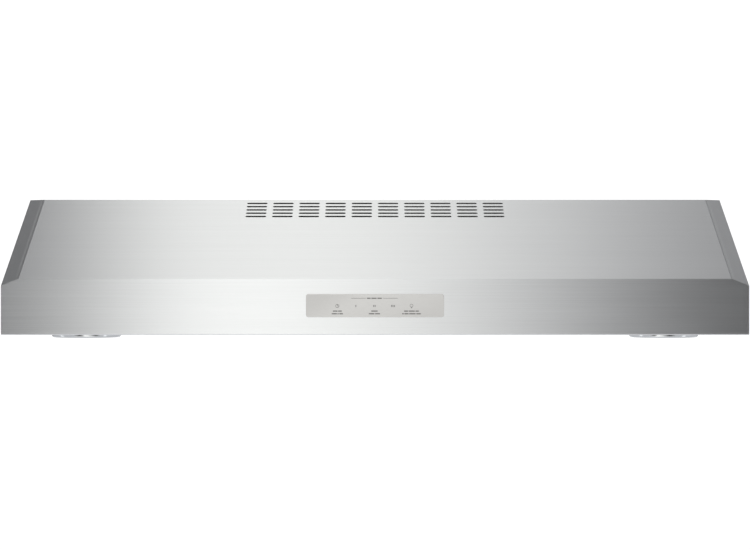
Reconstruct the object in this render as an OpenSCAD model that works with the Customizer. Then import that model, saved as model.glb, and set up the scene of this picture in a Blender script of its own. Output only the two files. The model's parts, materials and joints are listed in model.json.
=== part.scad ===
// Under cabinet range hood.
// +Z is up, the front faces -Y, and the origin is the centre of the top plane,
// which is the centre of the cabinet screw pattern.

/* [Overall] */
// Width across the side panels
hood_w = 759; // [740:1:780]
// Depth from the apron to the back panel
hood_d = 508; // [500:1:520]
// Height from the bottom edge to the top plane
hood_h = 143.3; // [140:0.1:150]
// Depth of the flat top, as deep as a wall cabinet
top_d = 305; // [300:1:310]
// Height of the vertical apron
apron_h = 57; // [55:1:60]

/* [Sheet metal] */
// Thickness of the shell's sheets
sheet = 1; // [0.8:0.1:1.2]
// Inside radius of a bend
bend_r = 0.5; // [0.4:0.1:1.2]
// Width of a side panel's slanted strip, seen from above
strip_w = 17.7; // [14:0.1:20]
// Drop of the strip from its inner to its outer edge
strip_drop = 7.2; // [6:0.1:9]
// Depth of the hem turned back under the apron
hem_d = 14; // [10:1:18]
// Gap where two sheets meet
seam = 0.3; // [0.2:0.1:0.5]
// Width of the inner flanges that sheets are joined on
flange_w = 12; // [10:1:14]

/* [Air slots] */
// Columns of slots
slot_cols = 10; // [8:1:10]
// Rows of slots
slot_rows = 5; // [4:1:5]
// Length of a slot
slot_len = 22.4; // [20:0.1:24]
// Width of a slot
slot_wid = 4.2; // [3:0.1:5]
// Distance between columns
slot_pitch = 28.5; // [27:0.1:30]
// Distance between rows, along the slope
slot_row_pitch = 9.6; // [8.5:0.1:10]
// Distance from the top edge to the first row, along the slope
slot_first = 11.2; // [10:0.1:14]

/* [Controls] */
// Width of the control glass
glass_w = 140; // [120:1:150]
// Height of the control glass
glass_h = 23.5; // [20:0.5:26]
// Height of the glass centre above the bottom edge
glass_up = 29.9; // [28:0.1:32]
// Corner radius of the glass
glass_r = 2.4; // [1:0.1:4]

/* [Lamps] */
// Outer diameter of a lamp ring
lamp_d = 72; // [66:1:76]
// Distance of each lamp from the centre
lamp_x = 300; // [280:1:310]
// Distance of the lamps behind the apron face
lamp_back = 65; // [55:1:75]
// How far a lamp stands below the bottom edge
lamp_proud = 4.2; // [3.5:0.1:5]

/* [Filters] */
// Width of one filter
filter_w = 323; // [320:1:323]
// Depth of one filter
filter_l = 347; // [340:1:347]
// Thickness of a filter
filter_t = 10; // [9:0.5:10]

/* [Blower] */
// Width between the outer faces of the side plates
blower_w = 254; // [254:1:258]
// Radius of an impeller
wheel_r = 44; // [42:1:45]
// Blades on an impeller
blades = 32; // [24:1:36]
// Radius of the motor can
motor_r = 38; // [34:1:39]
// Radius of the motor shaft
shaft_r = 4; // [3:0.5:5]

/* [Mounting] */
// Spacing of the cabinet screws across the hood
cabinet_x = 650; // [600:10:680]
// Spacing of the cabinet screws front to back
cabinet_y = 230; // [200:10:240]
// Radius of a cabinet screw hole
cabinet_r = 3.5; // [3:0.25:4]

/* [Hidden] */
$fn = 48;
eps = 0.01;
far = 1000; // longer than the hood, for cutting

// Shell
half_w = hood_w / 2;
top_front = -top_d / 2;
back_y = top_d / 2;
front_y = back_y - hood_d;
rise = hood_h - apron_h;
run = hood_d - top_d;
slope_a = atan(rise / run);
slope_len = norm([rise, run]);
strip_x = half_w - strip_w;
strip_a = atan(strip_drop * cos(slope_a) / strip_w);
strip_reach = norm([strip_w, strip_drop]) + 1; // past the side panel's face
top_flange = 20; // the front sheet's flange on the top plane
strip_top_y = top_front + strip_drop * run / rise; // strip meets the top here
floor_z = -hood_h + sheet; // the pan's lower face, on the flanges
pan_top = floor_z + sheet;

// Filters and their opening
rail_w = 26;
filter_gap = 1.5;
filter_x0 = rail_w / 2 + filter_gap;
open_x = filter_x0 + filter_w + filter_gap;
filter_z = floor_z + 0.5; // underside of a filter
filter_front = -243.5;
filter_back = filter_front + filter_l;
open_front = filter_front - 2.5;
open_back = filter_back + 13;
hinge_y = filter_back + 5;
hinge_z = filter_z + filter_t / 2;
pin_r = 2;
pin_fit = 0.05;
pin_len = 9;
ear_t = 2;
lug_w = 6;
lug_in = 20; // from the frame's corner to the lug
lip_z = filter_z + filter_t + 0.5; // underside of the lip the filter rests on
lip_w = 9;
frame_w = 13;
frame_t = 1;
mesh_t = 0.8;
latch_w = 34;
latch_t = 2.5;
latch_z = pan_top + 0.3;
tongue_w = 20;
tongue_out = 7.5; // past the filter's front edge

// Blower
blower_y = 40;
blower_z = -66;
scroll_r0 = 48;
scroll_r1 = 62;
scroll_from = -10;
outlet_y = blower_y - 62;
side_lap = 1.8; // a side plate's edge past the scroll wrap
wheel_in = 45; // inner end of a wheel, from the centre
wheel_out = blower_w / 2 - 9;
inlet_r = 36;
plate_x = 39.25; // inner face of a motor plate
plate_t = 1.5;
bearing_r = 9;
duct_top = blower_z + scroll_r1;
duct_low = blower_z - scroll_r0 * sin(scroll_from);
gasket_t = 4;
mouth_top = 5; // the duct's mouth, along the slope from the top edge
mouth_low = 58;
duct_half = blower_w / 2 + 5; // half the duct's width

// Duct openings, 3-1/4 by 10 in
duct_x = 254;
duct_y = 83;
top_duct_y = 62;
rear_duct_z = -62;
cover_lap = 9;

// Electrics
knock_r = 11.1; // a 7/8 in knock-out
box_x0 = 170;
box_x1 = 300;
box_y0 = 60;
box_y1 = 150;
box_h = 62;
knock_x = 235;
knock_y = 105;
driver_x = 210.8;
driver_y = -110;
driver_screw = 18.5;

// Controls
glass_z = glass_up - hood_h;
glass_t = 0.6;

// Lamps
lamp_y = front_y + lamp_back;
lamp_hole_r = lamp_d / 2 - 6;
ring_low = -hood_h - lamp_proud;
rim_w = 2.5;
rim_r = lamp_d / 2 - rim_w;
rim_h = 4.6;
bowl_h = 0.3;
lens_r = lamp_d / 2 - 9.1;
lens_h = 5.6;
led_r = lamp_d / 2 - 9.4;
led_t = 1.4;
led_up = 12.5; // from the lamp's lowest point to its board
clip_t = 0.5;

steel = [0.78, 0.79, 0.8];
galvanized = [0.66, 0.68, 0.7];
aluminium = [0.82, 0.83, 0.84];
plastic = [0.16, 0.16, 0.17];
board = [0.1, 0.36, 0.2];

// Plane geometry for bent sheets

function unit(v) = v / norm(v);
function left_of(v) = [-v[1], v[0]];
function turn(a, b, c) = cross(b - a, c - b);

// A polyline moved to its left by d
function moved(p, d) = [
    for (i = [0 : len(p) - 1])
        let (a = unit(p[min(i + 1, len(p) - 1)] - p[min(i, len(p) - 2)]),
             b = unit(p[max(i, 1)] - p[max(i - 1, 0)]),
             n = left_of(a) + left_of(b))
        p[i] + d * 2 * n / (n * n)
];

// Points of an arc of radius r that rounds the corner at b
function corner(a, b, c, r, n = 4) =
    let (u = unit(a - b), v = unit(c - b), half = acos(u * v) / 2,
         m = b + unit(u + v) * r / sin(half),
         s = (b + u * r / tan(half)) - m, e = (b + v * r / tan(half)) - m,
         w = 180 - 2 * half)
    [for (i = [0 : n]) m + (sin((1 - i / n) * w) * s + sin(i / n * w) * e) / sin(w)];

function smooth(p, r_left, r_right) = [
    for (i = [0 : len(p) - 1])
        if (i == 0 || i == len(p) - 1) p[i]
        else each corner(p[i - 1], p[i], p[i + 1],
                         turn(p[i - 1], p[i], p[i + 1]) > 0 ? r_left : r_right)
];

function reversed(p) = [for (i = [len(p) - 1 : -1 : 0]) p[i]];

// Section of a bent sheet: p is the face on its right, t its thickness
function section(p, t = sheet, r = bend_r) =
    concat(smooth(p, r + t, r), reversed(smooth(moved(p, t), r, r + t)));

// Extrudes a (y, z) outline along x
module along_x(x0, x1)
    translate([x0, 0, 0]) rotate([90, 0, 90]) linear_extrude(x1 - x0) children();

module block(a, b) translate(a) cube(b - a);

// A countersunk hole down through a sheet's face at the point p
module countersink(p) translate(p) {
    translate([0, 0, -sheet]) cylinder(r1 = 1.5, r2 = 3.4, h = sheet);
    cylinder(r = 3.4, h = 1);
    cylinder(r = 1.5, h = 4 * sheet, center = true);
}

module mirrored_x() {
    children();
    mirror([1, 0, 0]) children();
}

// A hole along x, y or z through the point p
module hole_x(p, r, h = 8) translate(p) rotate([0, 90, 0]) cylinder(r = r, h = h, center = true);
module hole_y(p, r, h = 8) translate(p) rotate([90, 0, 0]) cylinder(r = r, h = h, center = true);
module hole_z(p, r, h = 8) translate(p) cylinder(r = r, h = h, center = true);

// Frame on the sloped face: x across, y up the slope, z out of it
module on_slope() translate([0, top_front, 0]) rotate([slope_a, 0, 0]) children();

// Frame on the right strip: x across it from its inner edge, z out of it
module on_strip()
    translate([strip_x, top_front, 0]) rotate([slope_a, 0, 0]) rotate([0, strip_a, 0]) children();

// Everything outside the right strip's face, sunk by d
module outside_strip(d = 0) on_strip() translate([-far, -far, -d]) cube([2 * far, 2 * far, far]);

module rounded_rect(w, h, r)
    hull() for (x = [r - w / 2, w / 2 - r], y = [r - h / 2, h / 2 - r]) translate([x, y]) circle(r);

module slot_shape() {
    square([slot_len - slot_wid, slot_wid], center = true);
    for (s = [-1, 1]) translate([s * (slot_len - slot_wid) / 2, 0]) circle(slot_wid / 2);
}

// Screw positions shared by holes and screws

side_screw_y = [-70, 30, 120];
pan_side_y = [-240, -80, 80];
back_screw_x = [-330, -170, 170, 330];
duct_screws = [for (x = [-1, 1], y = [-1, 1]) [x * (duct_x / 2 + 5), y * 30]];
slope_screw_down = [30, 120];
plate_bolts = [for (a = [30 : 120 : 270]) a];
box_bolts = [for (x = [box_x0 + 12, box_x1 - 12], y = [box_y0 + 8, box_y1 - 6]) [x, y]];
tray_bolts = [[-310, 40], [-190, 40]];
driver_bolts = [for (s = [-1, 1]) [driver_x + s * driver_screw / 2, driver_y]];
cover_bolts = [for (p = duct_screws) [p[0], top_duct_y + p[1]]];
side_bolts_top = [for (y = side_screw_y, s = [-1, 1]) [s * (half_w - 7), y]];
top_screws = concat(box_bolts, tray_bolts, driver_bolts, cover_bolts, side_bolts_top);
side_bolts = [[-8, 55], [50, 30], [50, -30], [-8, -46]];

// Shell

front_path = [
    [top_front + top_flange, 0], [top_front, 0], [front_y, -rise],
    [front_y, -hood_h], [front_y + hem_d, -hood_h]
];
apron_path = [[front_y, -rise + 12], [front_y, -hood_h], [front_y + hem_d, -hood_h]];

module front_panel() color(steel) difference() {
    union() {
        along_x(seam - strip_x, strip_x - seam) polygon(section(front_path));
        difference() {
            along_x(-half_w, half_w) polygon(section(apron_path));
            mirrored_x() outside_strip();
            block([seam - strip_x, front_y - 1, -rise - 8], [strip_x - seam, front_y + 9, 0]);
            mirrored_x() block([half_w - sheet - seam, front_y + sheet + eps, -far], [far, far, far]);
        }
    }
    slots();
    translate([0, front_y, glass_z]) cube([glass_w - 10, 9, glass_h - 7], center = true);
    mirrored_x() slope_holes(2.1);
}

module slots() on_slope()
    for (i = [0 : slot_cols - 1], j = [0 : slot_rows - 1])
        translate([(i - (slot_cols - 1) / 2) * slot_pitch, -slot_first - j * slot_row_pitch, 0])
            linear_extrude(9, center = true) slot_shape();

// Holes through the front sheet's edge and the side panel's flange under it
module slope_holes(r) on_slope()
    for (d = slope_screw_down) translate([strip_x - 6, -d, -4]) cylinder(r = r, h = 3.5);

side_wall = [
    [front_y + sheet + seam, -hood_h], [front_y + sheet + seam, 0],
    [back_y, 0], [back_y, -hood_h]
];

module side_panel() color(steel) difference() {
    union() {
        difference() {
            union() {
                along_x(half_w - sheet, half_w) polygon(side_wall);
                on_strip() translate([0.1, -slope_len - 9, -sheet]) cube([strip_reach, far, sheet]);
            }
            outside_strip();
            block([-far, -far, 0], [far, far, far]);
            block([half_w, -far, -far], [far, far, far]);
            block([-far, -far, -far], [far, front_y + sheet + seam, far]);
        }
        strip_flange();
        corner_plate();
        side_flanges();
    }
    for (y = pan_side_y) hole_z([half_w - 7, y, -hood_h], 1.6);
    for (y = side_screw_y) hole_z([half_w - 7, y, -1.5 * sheet], 1.2, 2 * sheet);
    slope_holes(1.2);
}

// The strip's inner edge runs on under the front sheet
module strip_flange() intersection() {
    on_slope() translate([strip_x - flange_w, -slope_len + 6, -2 * sheet - 2 * eps])
        cube([flange_w + 3, slope_len - 9, sheet]);
    block([0, front_y + 4, -far], [far, far, -2 * sheet]);
}

// Fills the top plane between the strip, the front sheet's flange and the wall
module corner_plate() translate([0, 0, -2 * sheet]) linear_extrude(2 * sheet) polygon([
    [strip_x, top_front + sheet], [strip_x, top_front + top_flange - seam],
    [half_w, top_front + top_flange - seam], [half_w, strip_top_y + sheet]
]);

module side_flanges() {
    inner = half_w - flange_w;
    block([inner, top_front + top_flange - 4, -2 * sheet], [half_w, back_y - 16, -sheet - 0.02]);
    block([inner, front_y + hem_d + 1, -hood_h], [half_w, back_y - 16, -hood_h + sheet]);
}

module side_panel_right() side_panel();
module side_panel_left() mirror([1, 0, 0]) side_panel();

module top_panel() color(galvanized) difference() {
    union() {
        block([sheet - half_w + seam, top_front + top_flange + seam, -sheet],
              [half_w - sheet - seam, back_y - sheet, 0]);
        block([seam - strip_x + flange_w, top_front + 4, -2 * sheet - 0.02],
              [strip_x - flange_w - seam, top_front + top_flange + 12, -sheet - 0.02]);
        block([seam - strip_x + flange_w, top_front + top_flange + seam + 1, -2 * sheet],
              [strip_x - flange_w - seam, top_front + top_flange + 12, -sheet / 2]);
    }
    block([-duct_x / 2, top_duct_y - duct_y / 2, -9], [duct_x / 2, top_duct_y + duct_y / 2, 9]);
    for (x = [-1, 1], y = [-1, 1]) hole_z([x * cabinet_x / 2, y * cabinet_y / 2, 0], cabinet_r);
    for (p = top_screws) countersink([p[0], p[1], 0]);
    hole_z([knock_x, knock_y, 0], knock_r);
}

module back_panel() color(galvanized) difference() {
    union() {
        block([sheet - half_w + seam, back_y - sheet, -hood_h], [half_w - sheet - seam, back_y, 0]);
        for (z = [-2 * sheet - 0.02, -hood_h])
            block([sheet - half_w + seam, back_y - 14, z],
                  [half_w - sheet - seam, back_y - sheet / 2, z + sheet]);
    }
    block([-duct_x / 2, back_y - 9, rear_duct_z - duct_y / 2],
          [duct_x / 2, back_y + 9, rear_duct_z + duct_y / 2]);
    for (p = duct_screws)
        translate([p[0], back_y, rear_duct_z + p[1]]) rotate([-90, 0, 0]) countersink([0, 0, 0]);
    for (x = back_screw_x) hole_z([x, back_y - 7, -hood_h], 1.6);
    hole_y([knock_x, back_y, -box_h / 2 - 2], knock_r, 12);
    for (p = box_bolts) hole_z([p[0], p[1], -2], 2.1);
}

module bottom_pan() color(steel) difference() {
    union() {
        block([sheet - half_w + seam, front_y + sheet + bend_r + seam, floor_z],
              [half_w - sheet - seam, back_y - sheet - seam, pan_top]);
        opening_rim(-open_x, open_x, open_front, open_back);
    }
    block([-open_x, open_front, floor_z - 9], [open_x, open_back, lip_z]);
    block([lip_w - open_x, open_front + lip_w, floor_z], [open_x - lip_w, open_back - 7, 0]);
    for (s = [-1, 1]) {
        x = s * (filter_x0 + filter_w / 2);
        block([x - latch_w / 2 - 2, open_front - 12, pan_top], [x + latch_w / 2 + 2, open_front + 12, 0]);
        hole_z([s * lamp_x, lamp_y, floor_z], lamp_hole_r);
    }
    for (x = back_screw_x) hole_z([x, back_y - 7, floor_z], 2.1);
    for (y = pan_side_y, s = [-1, 1]) hole_z([s * (half_w - 7), y, floor_z], 2.1);
}

// A wall up round the opening, with a lip inwards for the filters to rest on
module opening_rim(x0, x1, y0, y1) difference() {
    block([x0 - sheet, y0 - sheet, floor_z], [x1 + sheet, y1 + sheet, lip_z + sheet]);
    block([x0 + lip_w, y0 + lip_w, -far], [x1 - lip_w, y1 - 7, far]);
}

module filter_centre_rail() color(steel) difference() {
    block([-rail_w / 2 - lip_w, open_front + sheet, floor_z],
          [rail_w / 2 + lip_w, open_back - sheet, lip_z + sheet]);
    mirrored_x() block([rail_w / 2, -far, -far], [far, far, lip_z]);
    block([sheet - rail_w / 2, -far, pan_top], [rail_w / 2 - sheet, far, lip_z + 9]);
    block([-far, -far, lip_z], [far, open_front + lip_w, far]);
    block([-far, open_back - 9, lip_z - 0.1], [far, far, far]);
}

// One ear beside each lug of the two filters
ear_x = [for (s = [-1, 1], e = [lug_in + lug_w + 1, filter_w - lug_in - lug_w - 1 - ear_t])
    s > 0 ? filter_x0 + e : -filter_x0 - e - ear_t];

module filter_hinge_brackets() color(galvanized) for (x = ear_x) difference() {
    union() {
        translate([x, hinge_y, hinge_z]) rotate([0, 90, 0]) cylinder(r = 4, h = ear_t);
        block([x, hinge_y, hinge_z - 3], [x + ear_t, open_back, hinge_z + 4]);
        block([x - 5, open_back - sheet, hinge_z - 3], [x + 7, open_back, hinge_z + 4]);
    }
    hole_x([x + ear_t / 2, hinge_y, hinge_z], pin_r + pin_fit, 20);
}

module duct_cover() difference() {
    union() {
        translate([0, 0, 0.4]) cube([duct_x + 2 * cover_lap, duct_y + 2 * cover_lap, 0.8], center = true);
        translate([0, 0, 0.8]) cube([duct_x - 30, duct_y - 24, 1.2], center = true);
    }
    translate([0, 0, -0.4]) cube([duct_x - 33, duct_y - 27, 2.8], center = true);
    for (p = duct_screws) hole_z([p[0], p[1], 0], 1.2);
}

// The covers lie against the sheets' inner faces
module top_duct_cover() color(galvanized)
    translate([0, top_duct_y, -sheet]) mirror([0, 0, 1]) duct_cover();
module rear_duct_cover() color(galvanized)
    translate([0, back_y - sheet, rear_duct_z]) rotate([90, 0, 0]) duct_cover();

module knockout_plug() color(galvanized) translate([knock_x, knock_y, -sheet]) {
    cylinder(r = knock_r - 0.1, h = sheet);
    translate([0, 0, -0.5]) cylinder(r = 3, h = 0.5 + eps);
}

// Electrics

module wiring_box() color(galvanized) difference() {
    union() {
        block([box_x0, box_y0, -box_h - 2.1], [box_x1, back_y - sheet - seam, -2.1]);
        for (x = [box_x0 + 12, box_x1 - 12]) translate([x, box_y0 + 8, -2.2]) cylinder(r = 6, h = 1.15);
    }
    block([box_x0 + sheet, -far, -box_h - 9], [box_x1 - sheet, back_y - 2 * sheet - seam, -2.1 - sheet]);
    for (p = box_bolts) hole_z([p[0], p[1], -2], 1.2);
    hole_z([knock_x, knock_y, -2], knock_r);
    hole_y([knock_x, back_y, -box_h / 2 - 2], knock_r);
    hole_x([box_x0, 90, -40], 7);
    for (x = [box_x0 + 5, box_x1 - 5]) hole_x([x, 80, -box_h + 2], 1.2, 12);
}

// An L that closes the box's open front and bottom
module wiring_box_cover() color(galvanized) difference() {
    union() {
        block([box_x0 + 0.3, box_y0 - sheet, -box_h - 3.2], [box_x1 - 0.3, box_y0, -3]);
        block([box_x0 + 0.3, box_y0 - sheet, -box_h - 3.2], [box_x1 - 0.3, 146, -box_h - 2.2]);
    }
    for (x = [box_x0 + 20, box_x1 - 20]) hole_z([x, 120, -box_h - 3], 2.1);
}

module terminal_block() color([0.9, 0.9, 0.86]) difference() {
    block([205, 108, -20], [265, 124, -3.1]);
    for (x = [215, 235, 255]) {
        hole_z([x, 116, -20], 3.2, 14);
        hole_y([x, 116, -12], 2, 30);
    }
}

module control_board_tray() color(galvanized) difference() {
    block([-320, 0, -42], [-180, 96, -1.02]);
    block([-319, -far, -41], [-181, far, -2.02]);
    for (p = tray_bolts) hole_z([p[0], p[1], -1.5], 1.2, 4);
    for (x = [-320, -180]) hole_x([x, 50, -20], 6);
}

module control_board() {
    color(board) block([-312, 8, -33], [-188, 88, -31.4]);
    color(plastic) {
        for (x = [-302, -282, -262]) block([x, 60, -31.4], [x + 15, 80, -15]);
        block([-230, 16, -31.4], [-200, 50, -10]);
        for (x = [-305, -195], y = [14, 82]) translate([x, y, -41]) cylinder(r = 2.5, h = 8);
    }
    color([0.92, 0.9, 0.84]) for (x = [-300 : 20 : -240]) block([x, 10, -31.4], [x + 12, 18, -22]);
}

module led_driver() color(plastic) difference() {
    union() {
        block([driver_x - 24, driver_y - 42, -29], [driver_x + 24, driver_y + 42, -2.3]);
        for (p = driver_bolts) translate([p[0], p[1], -2.4]) cylinder(r = 5, h = 1.35);
    }
    for (p = driver_bolts) hole_z([p[0], p[1], -1], 1.2, 24);
    hole_y([driver_x, driver_y - 42, -16], 4);
}

module motor_capacitor() color([0.85, 0.85, 0.87]) {
    translate([-150, 118, -66]) cylinder(r = 17, h = 60);
    translate([-150, 118, -6.01]) cylinder(r = 5, h = 4.99);
    for (s = [-1, 1]) block([-150 + s * 6 - 3, 117.6, -76], [-150 + s * 6 + 3, 118.4, -66]);
}

// Tubes swept along points

function between(a, b, t) = (1 - t) * a + t * b;
function halfway(p) = [for (i = [0 : len(p) - 2]) for (t = [0.25, 0.75]) between(p[i], p[i + 1], t)];
function softened(p) = concat([p[0]], halfway(p), [p[len(p) - 1]]);
reference = unit([0.31, 0.52, 0.8]); // parallel to no stretch of a lead

module tube(path, r, sides = 8) {
    p = softened(path);
    n = len(p);
    rings = [for (i = [0 : n - 1])
        let (t = unit(p[min(i + 1, n - 1)] - p[max(i - 1, 0)]),
             u = unit(cross(t, reference)), v = cross(t, u))
        for (k = [0 : sides - 1]) p[i] + r * (cos(360 * k / sides) * u + sin(360 * k / sides) * v)];
    walls = [for (i = [0 : n - 2], k = [0 : sides - 1])
        let (a = i * sides + k, b = i * sides + (k + 1) % sides)
        each [[a, b, b + sides], [a, b + sides, a + sides]]];
    last = (n - 1) * sides;
    caps = [for (k = [1 : sides - 2]) each [[0, k + 1, k], [last, last + k, last + k + 1]]];
    polyhedron(rings, concat(walls, caps));
}

// Each lead runs where clips hold it inside the shell
motor_lead = [[-20, 79, -66], [-20, 112, -66], [-40, 124, -40], [-90, 142, -18], [-130, 144, -17],
              [-166, 144, -17], [-172, 141, -18], [-172, 120, -19], [-172, 68, -24], [-178, 58, -25]];
box_lead = [[166, 90, -40], [150, 90, -40], [146, 110, -20], [146, 130, -8], [60, 134, -9], [-100, 134, -9],
            [-130, 141, -9], [-172, 141, -10], [-176, 110, -11], [-177, 58, -16], [-178, 50, -20]];
board_lead = [[-322, 50, -20], [-340, 50, -20], [-350, 30, -20], [-352, -60, -30],
              [-352, -160, -60], [-350, -240, -90], [-330, -318, -122], [-240, -328, -124],
              [-120, -330, -122], [-60, -336, -118]];
driver_lead = [[210.8, -157, -16], [210.8, -170, -24], [230, -200, -50], [270, -240, -80],
               [296, -280, -108]];
lamp_lead = [[304, -284, -112], [340, -304, -114], [348, -324, -122], [240, -334, -124],
             [120, -336, -122], [60, -336, -118]];
capacitor_lead = [[-150, 118, -79], [-150, 110, -84], [-156, 80, -70], [-170, 50, -42], [-178, 43, -27]];

module wire_harness() color(plastic) {
    for (lead = [motor_lead, box_lead, board_lead, driver_lead, lamp_lead, capacitor_lead]) tube(lead, 2);
}

// Controls

module control_glass() color([0.8, 0.8, 0.79])
    translate([0, front_y, glass_z]) rotate([90, 0, 0])
        linear_extrude(glass_t) rounded_rect(glass_w, glass_h, glass_r);

module control_housing() color(plastic) difference() {
    union() {
        block([-glass_w / 2 + 6, front_y + 0.1, glass_z - glass_h / 2 + 4.2],
              [glass_w / 2 - 6, front_y + 16, glass_z + glass_h / 2 - 4.2]);
        block([-glass_w / 2 - 8, front_y + sheet + 0.1, glass_z - 15],
              [glass_w / 2 + 8, front_y + sheet + 2.5, glass_z + 15]);
    }
    block([-glass_w / 2 + 8, front_y - 9, glass_z - 6], [glass_w / 2 - 8, front_y + 14, glass_z + 6]);
    block([20, front_y + 9, glass_z - 4], [40, front_y + 20, glass_z + 4]);
}

module touch_sensor_board() {
    color(board) block([-glass_w / 2 + 9, front_y + 2, glass_z - 5.5],
                       [glass_w / 2 - 9, front_y + 3.6, glass_z + 5.5]);
    color([0.8, 0.55, 0.25]) for (i = [-2 : 2]) translate([i * 19, front_y + 2.01, glass_z])
        rotate([90, 0, 0]) cylinder(r = 4, h = 1.9);
    color([0.92, 0.9, 0.84]) block([24, front_y + 3.6, glass_z - 3], [36, front_y + 10, glass_z + 3]);
}

// Lamps

module at_lamp(s) translate([s * lamp_x, lamp_y, 0]) children();

// Height of a lamp's face above its lowest point: almost flat, then a rounded rim
function lamp_face(r) = bowl_h * pow(r / rim_r, 2);
function rim_line(steps) = [
    for (i = [1 : steps]) let (a = 90 * i / steps)
        [rim_r + rim_w * sin(a), bowl_h + (rim_h - bowl_h) * (1 - cos(a))]
];

module lamp_ring() color([0.86, 0.87, 0.88]) translate([0, 0, ring_low]) rotate_extrude($fn = 96) union() {
    polygon(concat([for (r = [lens_r + 0.1, 29, 31, rim_r]) [r, lamp_face(r)]], rim_line(6),
                   [[lamp_d / 2, floor_z - ring_low], [lens_r + 0.1, floor_z - ring_low]]));
    translate([lamp_hole_r - 2.2, rim_h]) square([2, floor_z - ring_low + 16 - rim_h]);
}

module lamp_lens() color([0.95, 0.95, 0.93]) translate([0, 0, ring_low]) rotate_extrude($fn = 96)
    polygon(concat([for (i = [0 : 6]) let (r = lens_r * i / 6) [r, lamp_face(r)]],
                   [[lens_r, lens_h], [lens_r - 2.4, lens_h], [lens_r - 2.4, 2.4], [0, 2.4]]));

module lamp_board() translate([0, 0, ring_low + led_up]) {
    color([0.93, 0.93, 0.93]) cylinder(r = led_r, h = led_t);
    color([0.95, 0.85, 0.4]) for (a = [0 : 45 : 315])
        rotate(a) translate([14, 0, -0.8]) cube([3, 3, 1.62], center = true);
}

module lamp_heatsink() color(aluminium) translate([0, 0, ring_low + led_up + led_t]) {
    cylinder(r = led_r, h = 3);
    for (x = [-18 : 6 : 18]) translate([x - 0.8, -16, 2.9]) cube([1.6, 32, 9]);
}

// Two bent spring strips per lamp, from the ring to the pan's upper face
module lamp_clips() color(galvanized) for (s = [-1, 1], m = [0, 1]) at_lamp(s) mirror([0, m, 0])
    along_x(-5, 5) polygon(section([
        [lamp_hole_r + 9, pan_top + clip_t], [lamp_hole_r + 5, pan_top + clip_t],
        [lamp_hole_r + 1.6, pan_top + 8], [lamp_hole_r + 1.2, pan_top + 14]
    ], clip_t, 0.4));

module lamp_ring_left() at_lamp(-1) lamp_ring();
module lamp_ring_right() at_lamp(1) lamp_ring();
module lamp_lens_left() at_lamp(-1) lamp_lens();
module lamp_lens_right() at_lamp(1) lamp_lens();
module lamp_board_left() at_lamp(-1) lamp_board();
module lamp_board_right() at_lamp(1) lamp_board();
module lamp_heatsink_left() at_lamp(-1) lamp_heatsink();
module lamp_heatsink_right() at_lamp(1) lamp_heatsink();

// Blower

// Turns a shape about +Z into one along +X on the blower's axis
module on_shaft(x) translate([x, blower_y, blower_z]) rotate([0, 90, 0]) children();

function scroll_point(a, d) =
    let (r = scroll_r0 + (scroll_r1 - scroll_r0) * (a - scroll_from) / (270 - scroll_from) - d)
    [blower_y - r * cos(a), blower_z - r * sin(a)];
function scroll_outline(d, out) = concat(
    [[outlet_y - out, duct_low + d]],
    [for (a = [scroll_from : 10 : 270]) scroll_point(a, d)],
    [[outlet_y - out, duct_top - d]]
);

module blower_scroll() color(galvanized) difference() {
    along_x(1 - blower_w / 2, blower_w / 2 - 1) polygon(scroll_outline(0, 0));
    along_x(-blower_w, blower_w) polygon(scroll_outline(sheet, 9));
    hole_y([-20, blower_y + 57, blower_z], 3.5, 12);
}

module blower_side() color(galvanized) difference() {
    union() {
        along_x(blower_w / 2 - 1, blower_w / 2) polygon(scroll_outline(-side_lap, -side_lap));
        inlet_ring();
    }
    hole_x([blower_w / 2, blower_y, blower_z], inlet_r);
    for (p = side_bolts) hole_x([blower_w / 2, blower_y + p[0], blower_z + p[1]], 1.6);
}

// A flared mouth that leads air into the wheel
module inlet_ring() on_shaft(blower_w / 2 - 7) rotate_extrude() polygon([
    [inlet_r - 1, 0], [inlet_r + 1, 0], [inlet_r + 1, 5], [inlet_r + 5, 7], [inlet_r - 1, 7]
]);

module blower_side_right() blower_side();
module blower_side_left() mirror([1, 0, 0]) blower_side();

module motor_plate() color(galvanized) difference() {
    along_x(plate_x, plate_x + plate_t) polygon(scroll_outline(sheet + 0.1, -1));
    hole_x([plate_x, blower_y, blower_z], 14);
    for (a = plate_bolts) hole_x(bolt_at(plate_x, a), 1.6);
}
function bolt_at(x, a) = [x, blower_y + 28 * cos(a), blower_z + 28 * sin(a)];

module motor_plate_right() motor_plate();
module motor_plate_left() mirror([1, 0, 0]) motor_plate();

function slope_point(down, under) = [
    top_front - down * cos(slope_a) + under * sin(slope_a),
    -down * sin(slope_a) - under * cos(slope_a)
];
under_gasket = sheet + gasket_t;
function duct_outline(d, out) = [
    [outlet_y - 0.2 + out, duct_top - d],
    slope_point(mouth_top + d + 8, under_gasket - out),
    slope_point(mouth_low - d, under_gasket - out),
    [outlet_y - 34, duct_low + d],
    [outlet_y - 0.2 + out, duct_low + d]
];

module discharge_duct() color(galvanized) difference() {
    along_x(-duct_half, duct_half) polygon(duct_outline(0, 0));
    along_x(sheet - duct_half, duct_half - sheet) polygon(duct_outline(sheet, 9));
    block([-far, outlet_y - 0.1, -far], [far, far, far]);
}

module duct_gasket() color(plastic) difference() {
    along_x(-duct_half - 4, duct_half + 4) polygon([
        slope_point(mouth_top + 3, sheet + 0.1), slope_point(mouth_low + 5, sheet + 0.1),
        slope_point(mouth_low + 5, under_gasket - 0.1), slope_point(mouth_top + 5, under_gasket - 0.1)
    ]);
    along_x(sheet - duct_half, duct_half - sheet) polygon([
        slope_point(mouth_top + 5, -5), slope_point(mouth_low - 1, -5),
        slope_point(mouth_low - 1, 20), slope_point(mouth_top + 9, 20)
    ]);
}

can_end = plate_x - 0.05;

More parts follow.
